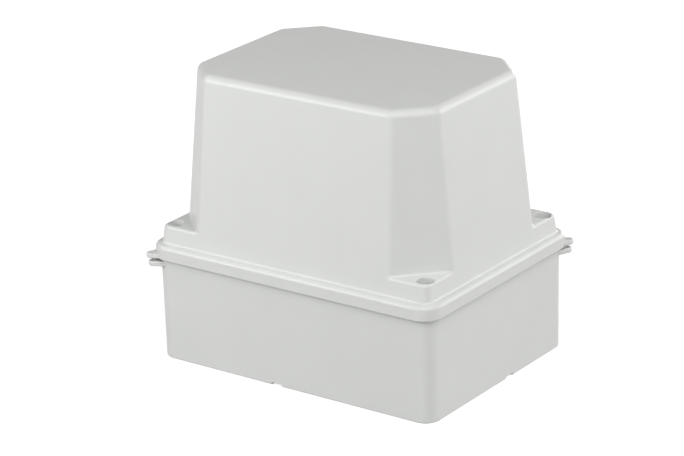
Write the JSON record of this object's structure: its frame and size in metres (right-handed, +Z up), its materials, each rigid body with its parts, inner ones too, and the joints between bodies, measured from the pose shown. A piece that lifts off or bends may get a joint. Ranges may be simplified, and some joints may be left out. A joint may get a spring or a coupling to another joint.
{
  "type": "waterproof junction box",
  "caption": "Deep rectangular junction box with a tall tapered lid, chamfered corners with recessed lid screws, a sealed rim and seal-wire lugs.",
  "frame": {"origin": "middle of the underside, on the surface that the box stands on or is fixed to", "axes": "+X along the long side, +Y towards the back, +Z up through the lid"},
  "size_m": [0.1608, 0.1208, 0.14],
  "materials": {
    "housing_plastic": "light grey moulded plastic, semi-gloss",
    "seal_rubber": "soft dark seal, matt",
    "screw_steel": "plated steel, satin"
  },
  "bodies": {
    "base": {"base": "housing_plastic"},
    "lid": {"lid": "housing_plastic", "gasket": "seal_rubber"},
    "screw_front_left": {"lid_screw_front_left": "screw_steel"},
    "screw_front_right": {"lid_screw_front_right": "screw_steel"},
    "screw_back_left": {"lid_screw_back_left": "screw_steel"},
    "screw_back_right": {"lid_screw_back_right": "screw_steel"}
  },
  "joints": [
    {"name": "lid_lift", "type": "slide", "parent": "base", "child": "lid", "axis": [0, 0, 1], "range_m": [0, 0.1]},
    {"name": "screw_turn_front_left", "type": "hinge", "parent": "lid", "child": "screw_front_left", "pos_m": [-0.0698, -0.0486, 0.0566], "axis": [0, 0, 1], "continuous": true},
    {"name": "screw_turn_front_right", "type": "hinge", "parent": "lid", "child": "screw_front_right", "pos_m": [0.0698, -0.0486, 0.0566], "axis": [0, 0, 1], "continuous": true},
    {"name": "screw_turn_back_left", "type": "hinge", "parent": "lid", "child": "screw_back_left", "pos_m": [-0.0698, 0.0486, 0.0566], "axis": [0, 0, 1], "continuous": true},
    {"name": "screw_turn_back_right", "type": "hinge", "parent": "lid", "child": "screw_back_right", "pos_m": [0.0698, 0.0486, 0.0566], "axis": [0, 0, 1], "continuous": true}
  ]
}
